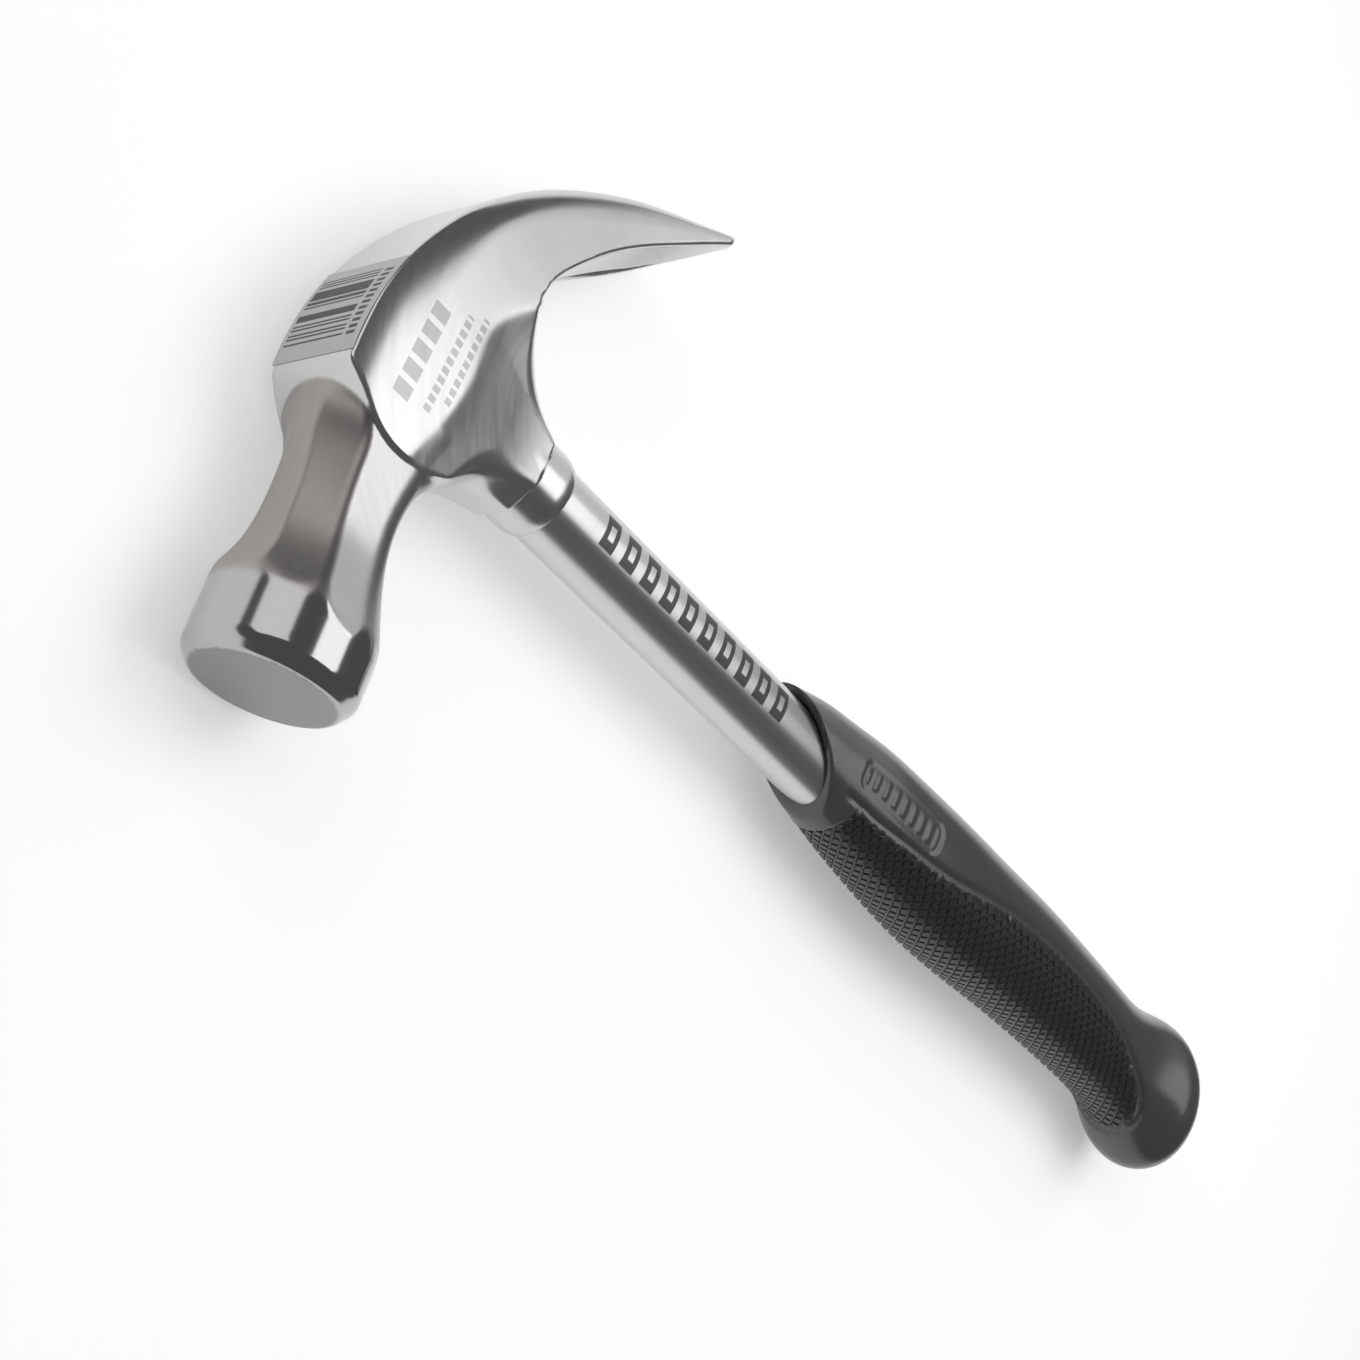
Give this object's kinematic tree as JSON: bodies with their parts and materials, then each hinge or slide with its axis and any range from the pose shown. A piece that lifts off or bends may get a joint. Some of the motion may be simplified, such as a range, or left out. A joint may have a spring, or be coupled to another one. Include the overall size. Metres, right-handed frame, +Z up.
{
  "type": "claw hammer",
  "caption": "Claw hammer with a forged steel head, a round bell-faced poll, a curved split claw, a tubular steel handle and a moulded rubber grip.",
  "frame": {"origin": "on the axis of the handle, at the lower edge of the head's collar, in the hammer's mirror plane", "axes": "the hammer lies on its side: +X towards the claw, +Y up the handle towards the top of the head, +Z up, across the hammer"},
  "size_m": [0.1428, 0.3247, 0.033],
  "materials": {
    "forged_steel": "satin ground and clear lacquered",
    "tube_steel": "satin chrome",
    "grip_rubber": "moulded, satin, with a diamond knurl",
    "label_paper": "coated paper with printed bars",
    "plug_plastic": "plain"
  },
  "bodies": {
    "root": {"head": "forged_steel", "eye_plug": "forged_steel", "shaft_tube": "tube_steel", "tube_end_plug": "plug_plastic", "grip": "grip_rubber", "top_label": "label_paper"}
  },
  "joints": []
}
